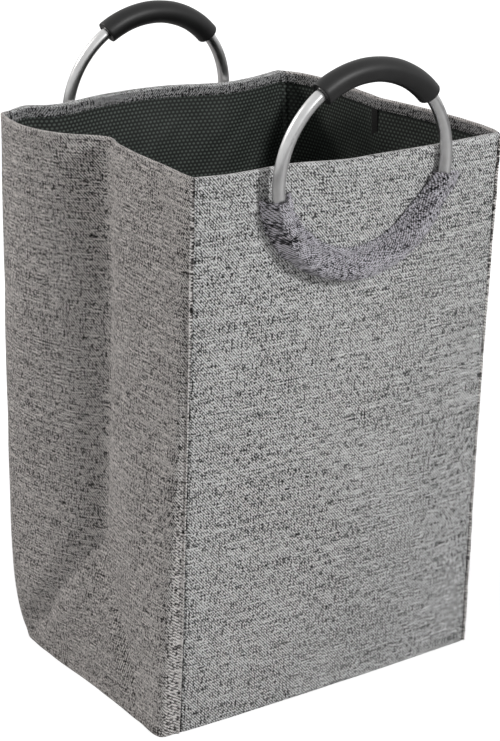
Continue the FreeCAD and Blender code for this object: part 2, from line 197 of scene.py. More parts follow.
def fold_line_depth(side, share, up):
    """How deep the pressed fold lines lie: one up the middle, two from the fork to the corners."""
    fold = FOLD_LINES[side]
    before = share < fold["middle"]
    front_first = side == "right"
    narrow = before == front_first
    width = min(fold["width"]) if narrow else max(fold["width"])
    if up >= FOLD_FORK:
        off = abs(share - fold["middle"])
        fade = ease((up - FOLD_FORK) / 0.16)
        return lerp(fold["depth"] * 0.5, fold["above"], fade) * max(0, 1 - off / 0.045)
    spread = (FOLD_FORK - up) / FOLD_FORK * (min(fold["reach"]) if narrow else max(fold["reach"]))
    off = abs(abs(share - fold["middle"]) - spread)
    strength = fold["depth"] * (1.0 - 0.45 * ease(up / FOLD_FORK)) * ease(up / 0.045)
    return strength * max(0, 1 - off / width)


def side_point(side, share, up):
    """A point on the outside of the hamper's cloth, share of the way along one side."""
    level = clamp(up, 0, RIM)
    if side in REACH:
        turn = 1 if side == "front" else -1
        rise = level / RIM
        reach = lerp(*REACH[side], rise) + lerp(*BOW[side], rise) * (1 - (2 * share - 1) ** 2)
        wander = through(*RIM_WANDER[side], clamp(turn * (2 * share - 1), -1, 1)) * rise ** 3
        left, right = SEAM + 0.0015, SEAM + 0.0015
        if side == "front":
            right += 0.0015 + RIGHT_SPREAD * (1 - rise)
        across = turn * lerp(-left, right, share)
        return Vector((across, -turn * reach + wander, up + wander * 0.2))
    plan = through(GUSSET_STATIONS, gusset_line(side, round(level, 5)), share)
    return plan + Vector((0, 0, up))


def side_outwards(side, share, up):
    step = 0.002
    along = side_point(side, min(share + step, 1), up) - side_point(side, max(share - step, 0), up)
    rise = side_point(side, share, min(up + step, RIM)) - side_point(side, share, max(up - step, 0))
    return along.cross(rise).normalized()


SIDE_LENGTH = {"front": 2 * SEAM, "back": 2 * SEAM, "left": 0.372, "right": 0.372}


def seam_relief(side, off):
    """The sewn edge at an upright seam: a rolled ridge on the gusset and a groove beside it."""
    if side in REACH:
        return -0.0016 * bell(off, 0.0022)
    return 0.0022 * bell(off - 0.0032, 0.0016) - 0.0018 * bell(off, 0.0014)


def cloth_relief(side, share, up):
    """Unevenness of the outer cloth, outwards."""
    length = SIDE_LENGTH[side]
    off = min(share, 1 - share) * length
    across = share * length
    stiff = side in REACH
    seed = {"front": 3.1, "back": 7.7, "left": 12.3, "right": 17.9}[side]
    height = seam_relief(side, off)
    height += (0.0007 if stiff else 0.0022) * ripple(across, up, 0.11, 0.19, seed)
    height += (0.0003 if stiff else 0.0008) * ripple(across, up, 0.035, 0.05, seed + 2)
    # the seam thread draws the cloth into short level puckers
    height += 0.0007 * bell(off, 0.018) * ripple(across, up, 0.05, 0.008, seed + 5)
    return height * ease((RIM - up) / 0.012 + 0.15)


# ---------------------------------------------------------------------------------------------
# Sheets
# ---------------------------------------------------------------------------------------------
def stations(length, coarse, fine, margin):
    """Positions from 0 to length, close together within margin of both ends."""
    places = [0.0]
    while places[-1] < length:
        off = min(places[-1], length - places[-1])
        places.append(places[-1] + lerp(fine, coarse, ease((off - margin) / (2 * margin))))
    scale = length / places[-1]
    return [place * scale for place in places]


def finish_piece(piece, body, material, nodes=()):
    piece.data.materials.clear()
    piece.data.materials.append(material)
    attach(piece, body)
    if nodes:
        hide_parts(*nodes)
    return piece


def object_from(bm, name, smooth=True):
    mesh = bpy.data.meshes.new(name)
    bm.to_mesh(mesh)
    bm.free()
    if smooth:
        mesh.shade_smooth()
    piece = bpy.data.objects.new(name, mesh)
    bpy.context.scene.collection.objects.link(piece)
    return piece


def cloth_grid(name, columns, rows, place, weave, tone_and_shade=None):
    """A sheet laid cell by cell: place(column, row) gives its point, weave(...) its thread position.

    tone_and_shade(column, row) is above 0 where the colour is made lighter, as on the rim's fold and a seam's
    ridge, and below 0 where it is made darker, as in a seam's groove; on the sleeve it carries painted light on
    the gathered folds and painted shade in their valleys.
    """
    bm = bmesh.new()
    tone_shift = bm.verts.layers.float.new("tone_and_shade")
    wide, tall = len(columns) - 1, len(rows) - 1
    bmesh.ops.create_grid(bm, x_segments=wide, y_segments=tall, size=0.5)
    threads = bm.loops.layers.uv.new("weave")
    cells = {}
    for vert in bm.verts:
        cells[vert] = (columns[round((vert.co.x + 0.5) * wide)], rows[round((vert.co.y + 0.5) * tall)])
    for face in bm.faces:
        for loop in face.loops:
            loop[threads].uv = weave(*cells[loop.vert])
    for vert, cell in cells.items():
        vert.co = place(*cell)
        vert[tone_shift] = tone_and_shade(*cell) if tone_and_shade else 0.0
    return object_from(bm, name)


def give_thickness(piece, thickness, offset=-1):
    wall = piece.modifiers.new("cloth_thickness", "SOLIDIFY")
    wall.thickness = thickness
    wall.offset = offset
    return piece


FOOT_TURN = {"front": 0.0054, "back": 0.0054, "left": 0.0090, "right": 0.0074}
FOOT_LIFT = 0.0003


def over_the_rim(side, roll):
    """Rows of (height, depth inwards): in from the base's edge, up the outside and over the rim."""
    turned_in = FOOT_TURN[side]
    rows = [(FOOT_LIFT, turned_in * share) for share in (1, 0.66, 0.33, 0.1)]
    rows += [(FOOT_LIFT + up, 0.0) for up in stations(RIM - roll - FOOT_LIFT, 0.006, 0.0016, 0.012)]
    steps = 8
    for step in range(1, steps + 1):
        turn = math.pi * step / steps
        rows.append((RIM - roll + roll * math.sin(turn), roll - roll * math.cos(turn)))
    rows.append((RIM - roll - 0.0025, 2 * roll))
    return rows


def shell_place(side, share, up, depth, relief=1.0):
    level = min(up, RIM)
    lift = cloth_relief(side, share, level) * relief - depth
    if side not in REACH:
        lift -= fold_line_depth(side, share, level)
    return side_point(side, share, up) + side_outwards(side, share, level) * lift


@lru_cache(maxsize=None)
def girth(side):
    """How far along the cloth each share of a side lies, at two thirds of the height."""
    points = [side_point(side, step / 200, RIM * 2 / 3) for step in range(201)]
    lengths = [0.0]
    for point, following in zip(points, points[1:]):
        lengths.append(lengths[-1] + (following - point).length)
    return lengths


def along_cloth(side, share):
    place = clamp(share) * 200
    index = min(int(place), 199)
    return lerp(girth(side)[index], girth(side)[index + 1], place - index)


def edge_tone(side, share, up):
    """Lighter on the rim's fold and the seam's ridge; darker in the seam's groove."""
    off = min(share, 1 - share) * SIDE_LENGTH[side]
    rim = 0.9 * bell(RIM + 0.0004 - up, 0.0024)
    if side in REACH:
        return rim - 1.3 * bell(off, 0.0013) - 0.14 * bell(off - 0.004, 0.006)
    ridge = ease((RIM - 0.015 - up) / 0.06)
    return rim + 1.1 * ridge * bell(off - 0.0031, 0.0013) - 1.2 * bell(off, 0.0012)


RIM_ROLL = {"front": 0.0029, "back": 0.0029, "left": 0.0021, "right": 0.0021}


def outer_cloth(side, body, node):
    """One side of the hamper: the outer cloth, rolled over the rim."""
    length = SIDE_LENGTH[side]
    roll = RIM_ROLL[side]
    rows = over_the_rim(side, roll)
    travel = [0.0]
    for (up, depth), (next_up, next_depth) in zip(rows, rows[1:]):
        travel.append(travel[-1] + math.hypot(next_up - up, next_depth - depth))
    columns = stations(length, 0.0042, 0.0009, 0.009)

    def place(across, row):
        up, depth = rows[row]
        relief = 1 if depth == 0 else 0.3
        return shell_place(side, across / length, up, depth, relief)

    def weave(across, row):
        return (along_cloth(side, across / length), travel[row])

    def tone_and_shade(across, row):
        return edge_tone(side, across / length, rows[row][0])

    piece = cloth_grid(side + "_cloth", columns, list(range(len(rows))), place, weave, tone_and_shade)
    give_thickness(piece, 0.0009)
    finish_piece(piece, body, melange if side in REACH else gusset_cloth_warm_shade, [node])
    along_cloth(side, 1)
    return piece


def hem_cloth(side, body, node):
    """The outer cloth's turned-down edge, sewn flat against the lining inside the rim."""
    length = SIDE_LENGTH[side]
    roll = RIM_ROLL[side]
    columns = stations(length, 0.005, 0.002, 0.01)
    top = RIM - 0.0030
    rows = [RIM - HEM_DEPTH + up for up in stations(top - RIM + HEM_DEPTH, 0.0016, 0.0008, 0.002)]

    def place(across, up):
        share = across / length
        pucker = 0.0005 * ripple(across, up, 0.012, 0.006, 71) * bell(up - RIM + HEM_DEPTH, 0.005)
        return shell_place(side, share, up, 2 * roll + HEM_STAND + pucker, 0.3)

    def stitch(across, up):
        return -0.9 * bell(up - RIM + HEM_DEPTH - 0.0014, 0.0007)

    piece = cloth_grid(side + "_hem_cloth", columns, rows, place,
                       lambda across, up: (along_cloth(side, across / length), up), stitch)
    give_thickness(piece, 0.0008, 0)
    finish_piece(piece, body, hem_shaded_melange, [node])
    along_cloth(side, 1)
    return piece


def lining_cloth(side, body, node, depth):
    """The dotted lining of one side, from the base up under the hem."""
    length = SIDE_LENGTH[side]
    columns = stations(length, 0.005, 0.002, 0.01)
    top = RIM - HEM_DEPTH + 0.0015
    rows = [LINING_FOOT + up for up in stations(top - LINING_FOOT, 0.007, 0.003, 0.02)]

    def place(across, up):
        share = across / length
        loose = ease((top - up) / 0.05) * ease((up - LINING_FOOT) / 0.03) * 0.0022
        slack = loose * (0.6 + ripple(across, up, 0.04, 0.08, 31) + 0.5 * ripple(across + up, up, 0.018, 0.05, 37))
        return shell_place(side, share, up, depth + slack, 0.3)

    piece = cloth_grid(side + "_lining_cloth", columns, rows, place,
                       lambda across, up: (along_cloth(side, across / length), up))
    give_thickness(piece, 0.0005)
    finish_piece(piece, body, lining, [node])
    along_cloth(side, 1)
    return piece


# ---------------------------------------------------------------------------------------------
# Materials
# ---------------------------------------------------------------------------------------------
def shade(level):
    """A grey or colour written as 0 to 255 on a screen, as linear light."""
    values = level if isinstance(level, tuple) else (level, level, level)
    return tuple(((v / 255) / 12.92 if v / 255 <= 0.04045 else ((v / 255 + 0.055) / 1.055) ** 2.4)
                 for v in values) + (1.0,)


class Recipe:
    """A material being mixed: its nodes are added one by one and wired by name."""

    def __init__(self, name, roughness, **sockets):
        self.material = bpy.data.materials.new(name)
        self.material.use_nodes = True
        self.tree = self.material.node_tree
        self.shader = self.tree.nodes["Principled BSDF"]
        self.shader.inputs["Roughness"].default_value = roughness
        for socket, value in sockets.items():
            self.shader.inputs[socket.replace("_", " ")].default_value = value

    def node(self, kind, settings=None, **inputs):
        made = self.tree.nodes.new(kind)
        for key, value in (settings or {}).items():
            setattr(made, key, value)
        for key, value in inputs.items():
            socket = made.inputs[int(key[1:])] if key[0] == "i" and key[1:].isdigit() else made.inputs[key]
            self.feed(socket, value)
        return made

    def feed(self, socket, value):
        if isinstance(value, bpy.types.NodeSocket):
            self.tree.links.new(value, socket)
        elif isinstance(value, bpy.types.Node):
            self.tree.links.new(value.outputs[0], socket)
        else:
            socket.default_value = value

    def math(self, operation, first, second=0.0, clamped=False):
        made = self.node("ShaderNodeMath", {"operation": operation, "use_clamp": clamped}, i0=first, i1=second)
        return made.outputs[0]

    def grain(self, where, scale, detail=2.0, roughness=0.5):
        """Noise stretched by a scale along each axis, about 0 to 1."""
        placed = self.node("ShaderNodeMapping", i0=where, Scale=scale)
        made = self.node("ShaderNodeTexNoise", None, Vector=placed, Scale=1.0, Detail=detail, Roughness=roughness)
        return made.outputs[0]

    def ramp(self, factor, stops):
        made = self.node("ShaderNodeValToRGB", None, Fac=factor)
        elements = made.color_ramp.elements
        while len(elements) < len(stops):
            elements.new(0.5)
        for element, (position, colour) in zip(elements, stops):
            element.position = position
            element.color = colour
        return made.outputs[0]

    def colour(self, value):
        self.feed(self.shader.inputs["Base Color"], value)

    def bump(self, height, strength, distance):
        made = self.node("ShaderNodeBump", None, Height=height, Strength=strength, Distance=distance)
        self.feed(self.shader.inputs["Normal"], made.outputs[0])


def thread_position(recipe):
    return recipe.node("ShaderNodeUVMap", {"uv_map": "weave"}).outputs[0]


WARP_PITCH = 0.0010
WEFT_PITCH = 0.00116


def melange_cloth(name, dark, middle, light, slub=0.5):
    """Grey melange twill: every thread over one and under two, each with its own changing tone."""
    recipe = Recipe(name, 0.92, Sheen_Weight=0.1, Sheen_Roughness=0.5, Specular_IOR_Level=0.22)
    where = thread_position(recipe)
    parts = recipe.node("ShaderNodeSeparateXYZ", None, Vector=where)
    warp = recipe.math("DIVIDE", parts.outputs[0], WARP_PITCH)
    weft = recipe.math("DIVIDE", parts.outputs[1], WEFT_PITCH)
    count = recipe.math("ADD", recipe.math("FLOOR", warp), recipe.math("FLOOR", weft))
    over = recipe.math("LESS_THAN", recipe.math("FRACT", recipe.math("DIVIDE", count, 3.0)), 0.5)
    warp_tone = recipe.grain(where, (660, 110, 1), 0.0)
    weft_tone = recipe.grain(where, (65, 600, 1), 0.0)
    specks = recipe.grain(where, (450, 450, 1), 0.0)
    streaks = recipe.grain(where, (7, 230, 1), 1.0)
    patches = recipe.grain(where, (9, 7, 1), 2.0)
    warp_part = recipe.math("ADD", recipe.math("MULTIPLY", warp_tone, 1.3), 0.18)
    weft_part = recipe.math("SUBTRACT", recipe.math("MULTIPLY", weft_tone, 1.3), 0.45)
    total = recipe.node("ShaderNodeMix", None, Factor=over, A=weft_part, B=warp_part).outputs[0]
    total = recipe.math("ADD", total, recipe.math("MULTIPLY", recipe.math("SUBTRACT", specks, 0.5), 1.5))
    total = recipe.math("ADD", total, recipe.math("MULTIPLY", recipe.math("SUBTRACT", weft_tone, 0.5), slub))
    total = recipe.math("ADD", total, recipe.math("MULTIPLY", recipe.math("SUBTRACT", streaks, 0.5), 0.6))
    total = recipe.math("ADD", total, recipe.math("MULTIPLY", recipe.math("SUBTRACT", patches, 0.5), 0.22))
    # The per-vertex tone: lighter rim folds and seam ridges, darker seam grooves and stitch lines, and on the
    # sleeve painted light on its folds with painted shade in their valleys and along its inner seam.
    tone_shift = recipe.node("ShaderNodeAttribute", {"attribute_name": "tone_and_shade"}).outputs["Fac"]
    tone_with_shade = recipe.math("ADD", total, recipe.math("MULTIPLY", tone_shift, 0.32))
    recipe.colour(recipe.ramp(tone_with_shade, [(0.18, dark), (0.5, middle), (0.86, light)]))
    warp_round = recipe.math("PINGPONG", warp, 0.5)
    weft_round = recipe.math("PINGPONG", weft, 0.5)
    relief = recipe.node("ShaderNodeMix", None, Factor=over, A=weft_round, B=warp_round).outputs[0]
    recipe.bump(recipe.math("ADD", relief, recipe.math("MULTIPLY", total, 0.5)), 0.4, 0.0005)
    return recipe.material


def dotted_lining(name):
    """Dark coated lining with a staggered dot, five millimetres apart."""
    recipe = Recipe(name, 0.62, Specular_IOR_Level=0.4)
    where = thread_position(recipe)
    pitch, row = 0.0051, 0.0041
    nearest = None
    for shift in (0.0, 0.5):
        cell = recipe.node("ShaderNodeMapping", i0=where, Location=(shift, shift, 0),
                           Scale=(1 / pitch, 1 / (2 * row), 1))
        part = recipe.node("ShaderNodeVectorMath", {"operation": "FRACTION"}, i0=cell)
        middle = recipe.node("ShaderNodeVectorMath", {"operation": "SUBTRACT"}, i0=part, i1=(0.5, 0.5, 0))
        true_size = recipe.node("ShaderNodeVectorMath", {"operation": "MULTIPLY"}, i0=middle,
                                i1=(pitch * 0.8, 2 * row, 0))
        off = recipe.node("ShaderNodeVectorMath", {"operation": "LENGTH"}, i0=true_size).outputs["Value"]
        nearest = off if nearest is None else recipe.math("MINIMUM", nearest, off)
    dot = recipe.node("ShaderNodeMapRange", {"interpolation_type": "SMOOTHSTEP"}, Value=nearest)
    recipe.feed(dot.inputs["From Min"], 0.0017)
    recipe.feed(dot.inputs["From Max"], 0.0006)
    # Large patches where the dots show lighter or darker: painted sheen and fold shade on the dots.
    tone_and_shade = recipe.grain(where, (60, 60, 1), 3.0)
    level = recipe.math("MULTIPLY", dot.outputs[0], recipe.math("ADD", tone_and_shade, 0.45))
    recipe.colour(recipe.ramp(level, [(0.0, shade((26, 30, 27))), (0.95, shade((104, 114, 107)))]))
    weave = recipe.grain(where, (1300, 1300, 1), 2.0)
    recipe.bump(recipe.math("ADD", dot.outputs[0], recipe.math("MULTIPLY", weave, 0.4)), 0.35, 0.0004)
    return recipe.material


def satin_tube(name):
    recipe = Recipe(name, 0.3, Metallic=1.0)
    where = recipe.node("ShaderNodeTexCoord").outputs["Object"]
    handling = recipe.grain(where, (90, 90, 90), 4.0)
    brushed = recipe.grain(where, (2600, 2600, 900), 2.0)
    recipe.colour(recipe.ramp(handling, [(0.3, shade(214)), (0.7, shade(228))]))
    rough = recipe.node("ShaderNodeMapRange", None, Value=handling)
    recipe.feed(rough.inputs["To Min"], 0.24)
    recipe.feed(rough.inputs["To Max"], 0.36)
    recipe.feed(recipe.shader.inputs["Roughness"], rough.outputs[0])
    recipe.bump(brushed, 0.06, 0.0002)
    return recipe.material


def grip_foam(name):
    recipe = Recipe(name, 0.5, Specular_IOR_Level=0.42)
    where = recipe.node("ShaderNodeTexCoord").outputs["Object"]
    cells = recipe.grain(where, (1500, 1500, 1500), 3.0)
    tone_shift = recipe.grain(where, (50, 50, 50), 3.0)
    recipe.colour(recipe.ramp(tone_shift, [(0.3, shade(34)), (0.75, shade(44))]))
    rough = recipe.node("ShaderNodeMapRange", None, Value=tone_shift)
    recipe.feed(rough.inputs["To Min"], 0.36)
    recipe.feed(rough.inputs["To Max"], 0.5)
    recipe.feed(recipe.shader.inputs["Roughness"], rough.outputs[0])
    recipe.bump(cells, 0.22, 0.0004)
    return recipe.material


def woven_tape(name):
    recipe = Recipe(name, 0.85, Sheen_Weight=0.1, Specular_IOR_Level=0.25)
    where = thread_position(recipe)
    ribs = recipe.node("ShaderNodeTexWave", {"wave_type": "BANDS", "bands_direction": "Y"}, Vector=where)
    recipe.feed(ribs.inputs["Scale"], 130.0)
    recipe.feed(ribs.inputs["Distortion"], 0.6)
    fuzz = recipe.grain(where, (900, 900, 1), 2.0)
    recipe.colour(recipe.ramp(fuzz, [(0.3, shade(14)), (0.75, shade(32))]))
    recipe.bump(recipe.math("ADD", ribs.outputs[1], recipe.math("MULTIPLY", fuzz, 0.5)), 0.5, 0.0005)
    return recipe.material


def pressed_board(name):
    recipe = Recipe(name, 0.8, Specular_IOR_Level=0.3)
    where = recipe.node("ShaderNodeTexCoord").outputs["Object"]
    fibre = recipe.grain(where, (220, 220, 90), 4.0)
    recipe.colour(recipe.ramp(fibre, [(0.3, shade((104, 102, 98))), (0.7, shade((124, 122, 117)))]))
    recipe.bump(fibre, 0.2, 0.0004)
    return recipe.material


def moulded_plastic(name):
    recipe = Recipe(name, 0.45, Specular_IOR_Level=0.5)
    where = recipe.node("ShaderNodeTexCoord").outputs["Object"]
    grain = recipe.grain(where, (700, 700, 700), 3.0)
    recipe.colour(recipe.ramp(grain, [(0.3, shade(48)), (0.7, shade(62))]))
    recipe.bump(grain, 0.15, 0.0003)
    return recipe.material


melange = melange_cloth("melange_cloth", shade(24), shade(132), shade(255))
# The gussets' copy of the melange is a little darker and warmer: painted warm shade on the sides the key light
# misses; its slubs are stronger.
gusset_cloth_warm_shade = melange_cloth("melange_cloth_gusset_warm_shade", shade((22, 20, 19)), shade((128, 124, 122)),
                             shade((255, 251, 249)), 0.7)
sleeve_cloth = melange_cloth("melange_cloth_bias", shade((18, 17, 20)), shade((114, 112, 118)),
                             shade((240, 237, 245)))
# A darker copy of the melange for the hem inside the rim: painted shade where the rim blocks the light.
hem_shaded_melange = melange_cloth("melange_cloth_hem_painted_shade", shade((8, 8, 9)), shade((76, 76, 77)),
                             shade((210, 210, 211)))
lining = dotted_lining("dotted_lining")
tube_metal = satin_tube("satin_tube")
foam = grip_foam("grip_foam")
tape_black = woven_tape("black_webbing")
board = pressed_board("pressed_board")
plastic = moulded_plastic("moulded_plastic")


def fold_away(piece):
    """Gives a piece of the soft cloth between the two panels its own copy of its mesh data."""
    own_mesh(piece)


def stiffener(side):
    """The pressed board between a panel's cloth and its lining."""
    length = SIDE_LENGTH[side]
    margin = 0.008
    columns = stations(length - 2 * margin, 0.008, 0.003, 0.012)
    rows = [0.0015 + up for up in stations(RIM - 0.0095, 0.008, 0.003, 0.012)]

    def place(across, up):
        return shell_place(side, (across + margin) / length, up, 0.0018, 0.3)

    piece = cloth_grid(side + "_board", columns, rows, place, lambda across, up: (across, up))
    give_thickness(piece, 0.0024)
    finish_piece(piece, side, board, [side + "_stiffener_board"])


for side in REACH:
    outer_cloth(side, side, side + "_panel")
    hem_cloth(side, side, side + "_hem")
    stiffener(side)
    lining_cloth(side, side, side + "_lining", 0.0052)
for side in ("left", "right"):
    fold_away(outer_cloth(side, "back", side + "_gusset"))
    fold_away(hem_cloth(side, "back", side + "_hem"))
    fold_away(lining_cloth(side, "back", side + "_gusset_lining", 0.0030))


def gusset_tape(side):
    """Black webbing over the middle fold, on the lining, from the hem down."""
    length = SIDE_LENGTH[side]
    middle = GUSSET_STATIONS[5] * length
    off = -0.0115 if side == "left" else 0.0115
    width = 0.0155
    columns = [lerp(-width / 2, width / 2, step / 8) for step in range(9)]
    rows = [0.17 + up for up in stations(RIM - HEM_DEPTH + 0.004 - 0.17, 0.006, 0.003, 0.01)]

    def place(across, up):
        share = middle / length
        step = (side_point(side, share + 0.02, RIM) - side_point(side, share - 0.02, RIM)).length / 0.04
        return shell_place(side, share + (off + across) / step, up, 0.0041, 0.3)

    piece = cloth_grid(side + "_tape", columns, rows, place, lambda across, up: (across, up))
    give_thickness(piece, 0.0009, 0)
    finish_piece(piece, "back", tape_black, [side + "_gusset_tape"])
    fold_away(piece)


gusset_tape("left")
gusset_tape("right")


# ---------------------------------------------------------------------------------------------
# Base: cloth underneath, lining above, each in two halves that meet at the middle fold
# ---------------------------------------------------------------------------------------------
def base_sheet(name, end, body, low, high, material, node, inset):
    """A flat half of the base, its cut edges rounded and its face a little uneven."""
    corner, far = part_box(node)
    turn = -1 if end == "front" else 1
    near_edge = far.y if end == "front" else corner.y
    deep = far.y - corner.y - inset
    wide = far.x - corner.x - 2 * inset
    columns = stations(wide, 0.008, 0.002, 0.006)
    rows = stations(deep, 0.008, 0.002, 0.006)

    def place(across, along):
        edge = min(across, wide - across, along, deep - along)
        level = high - 0.0006 * bell(edge, 0.002) + 0.0004 * ripple(across, along, 0.05, 0.04, 41)
        left = corner.x + inset + across
        return Vector((left if end == "rear" else -left, near_edge + turn * along, level))

    piece = cloth_grid(name, columns, rows, place, lambda across, along: (across, along))
    give_thickness(piece, high - low)
    finish_piece(piece, body, material, [node])
    return piece


for end in ("front", "rear"):
    cover_low, cover_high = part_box("base_cover_" + end)
    base_sheet("base_cover_cloth_" + end, end, "base_" + end, cover_low.z + 0.0002, cover_high.z - 0.0004,
               melange, "base_cover_" + end, 0.0)
    floor_low, floor_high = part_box("base_lining_" + end)
    base_sheet("base_lining_cloth_" + end, end, "base_" + end, floor_low.z, floor_high.z, lining,
               "base_lining_" + end, 0.0)


# ---------------------------------------------------------------------------------------------
# Ring handles
# ---------------------------------------------------------------------------------------------
def ring_place(face):
    """The ring's own frame: X across, Y up the ring, Z along its axis."""
    axis = Vector(RINGS[face]["axis"]).normalized()
    across = Vector((1, 0, 0))
    up = axis.cross(across)
    turn = Matrix((across, up, axis)).transposed().to_4x4()
    return Matrix.Translation(Vector(RINGS[face]["pos_m"])) @ turn


def bent_round(name, face, profile, arc, steps, closed):
    """Spin a section (radius, height off the ring's plane) round the ring."""
    bm = bmesh.new()
    start, end = arc
    first = Matrix.Rotation(start, 4, "Z")
    verts = [bm.verts.new(first @ Vector((radius, 0, height))) for radius, height in profile]
    edges = [bm.edges.new((verts[index], verts[(index + 1) % len(verts)])) for index in range(len(verts))]
    made = bmesh.ops.spin(bm, geom=verts + edges, cent=(0, 0, 0), axis=(0, 0, 1), angle=end - start,
                          steps=steps, use_merge=closed, use_duplicate=False)
    if not closed:
        tip = [item for item in made["geom_last"] if isinstance(item, bmesh.types.BMEdge)]
        bmesh.ops.contextual_create(bm, geom=edges)
        bmesh.ops.contextual_create(bm, geom=tip)
    bmesh.ops.remove_doubles(bm, verts=bm.verts, dist=1e-6)
    bmesh.ops.recalc_face_normals(bm, faces=bm.faces)
    bmesh.ops.transform(bm, matrix=ring_place(face), verts=bm.verts)
    return object_from(bm, name)


def round_section(middle, radius, points):
    return [(middle + radius * math.cos(2 * math.pi * index / points),
             radius * math.sin(2 * math.pi * index / points)) for index in range(points)]


def grip_piece(face):
    """Foam sleeve: a thick bent tube with square ends, a softened lip and an open bore."""
    bore = TUBE_RADIUS + 0.0009
    lip = 0.0008
    bm = bmesh.new()
    points = 40
    arc = GRIP_ARC[1] - GRIP_ARC[0]
    stops = [0, 0.0002, 0.0008, 0.003]
    length = RING_RADIUS * arc
    along = stops + [lerp(0.009, length - 0.009, step / 34) for step in range(35)]
    along += [length - stop for stop in reversed(stops)]

    def outside(place):
        off = min(place, length - place)
        if off >= lip:
            swell = 0.0003 * ripple(place, 0, 0.03, 1, 5)
            return GRIP_RADIUS + swell
        return GRIP_RADIUS - lip + math.sqrt(max(lip ** 2 - (lip - off) ** 2, 0))

    rings = []
    path = [(0.006, bore), (0.0, bore)] + [(place, outside(place)) for place in along]
    path += [(length, bore), (length - 0.006, bore)]
    for place, radius in path:
        turn = Matrix.Rotation(GRIP_ARC[0] + place / RING_RADIUS, 4, "Z")
        made = bmesh.ops.create_circle(bm, cap_ends=False, segments=points, radius=radius,
                                       matrix=turn @ Matrix.Translation((RING_RADIUS, 0, 0))
                                       @ Matrix.Rotation(math.pi / 2, 4, "X"))
        rings.append(made["verts"])
    for lower, upper in zip(rings, rings[1:]):
        loops = [edge for edge in {edge for vert in lower + upper for edge in vert.link_edges}
                 if (edge.verts[0] in lower) == (edge.verts[1] in lower)
                 and (edge.verts[0] in lower + upper) and (edge.verts[1] in lower + upper)]
        bmesh.ops.bridge_loops(bm, edges=loops)
    bmesh.ops.recalc_face_normals(bm, faces=bm.faces)
    bmesh.ops.transform(bm, matrix=ring_place(face), verts=bm.verts)
    piece = object_from(bm, face + "_grip_foam")
    finish_piece(piece, face + "_handle", foam, [face + "_grip"])
    return piece


def ring_piece(face):
    section = round_section(RING_RADIUS, TUBE_RADIUS, 28)
    piece = bent_round(face + "_ring_tube", face, section, (0, 2 * math.pi), 160, True)
    finish_piece(piece, face + "_handle", tube_metal, [face + "_handle_ring"])


for face in ("front", "back"):
    ring_piece(face)
    grip_piece(face)


# ---------------------------------------------------------------------------------------------
# Handle sleeves
# ---------------------------------------------------------------------------------------------
SLEEVE_INNER = RING_RADIUS - 0.0240
SLEEVE_OUTER = RING_RADIUS + 0.0125


SHOULDER = 0.0052


def sleeve_place(face, radius, turn):
    """A point of the tunnel: on the panel at its two seams, stretched over the tube between them."""
    around = ring_place(face) @ Vector((radius * math.cos(turn), radius * math.sin(turn), 0))
    outwards = -1 if face == "front" else 1
    share = clamp(0.5 - outwards * around.x / (2 * SEAM + 0.003))
    ground = side_point(face, share, around.z).y * outwards + 0.0006
    snug = TUBE_RADIUS + 0.0012
    off = radius - RING_RADIUS
    bend = clamp(off, -SHOULDER, SHOULDER)
    crown = around.y * outwards + math.sqrt(snug ** 2 - bend ** 2)
    if off > SHOULDER:
        crown = lerp(crown, ground, ease((off - SHOULDER) / 0.0058) ** 0.8)
    elif off < -SHOULDER:
        crown = lerp(crown, ground, ease((-SHOULDER - off) / 0.0135) ** 0.8)
    return Vector((around.x, outwards * max(crown, ground), around.z))


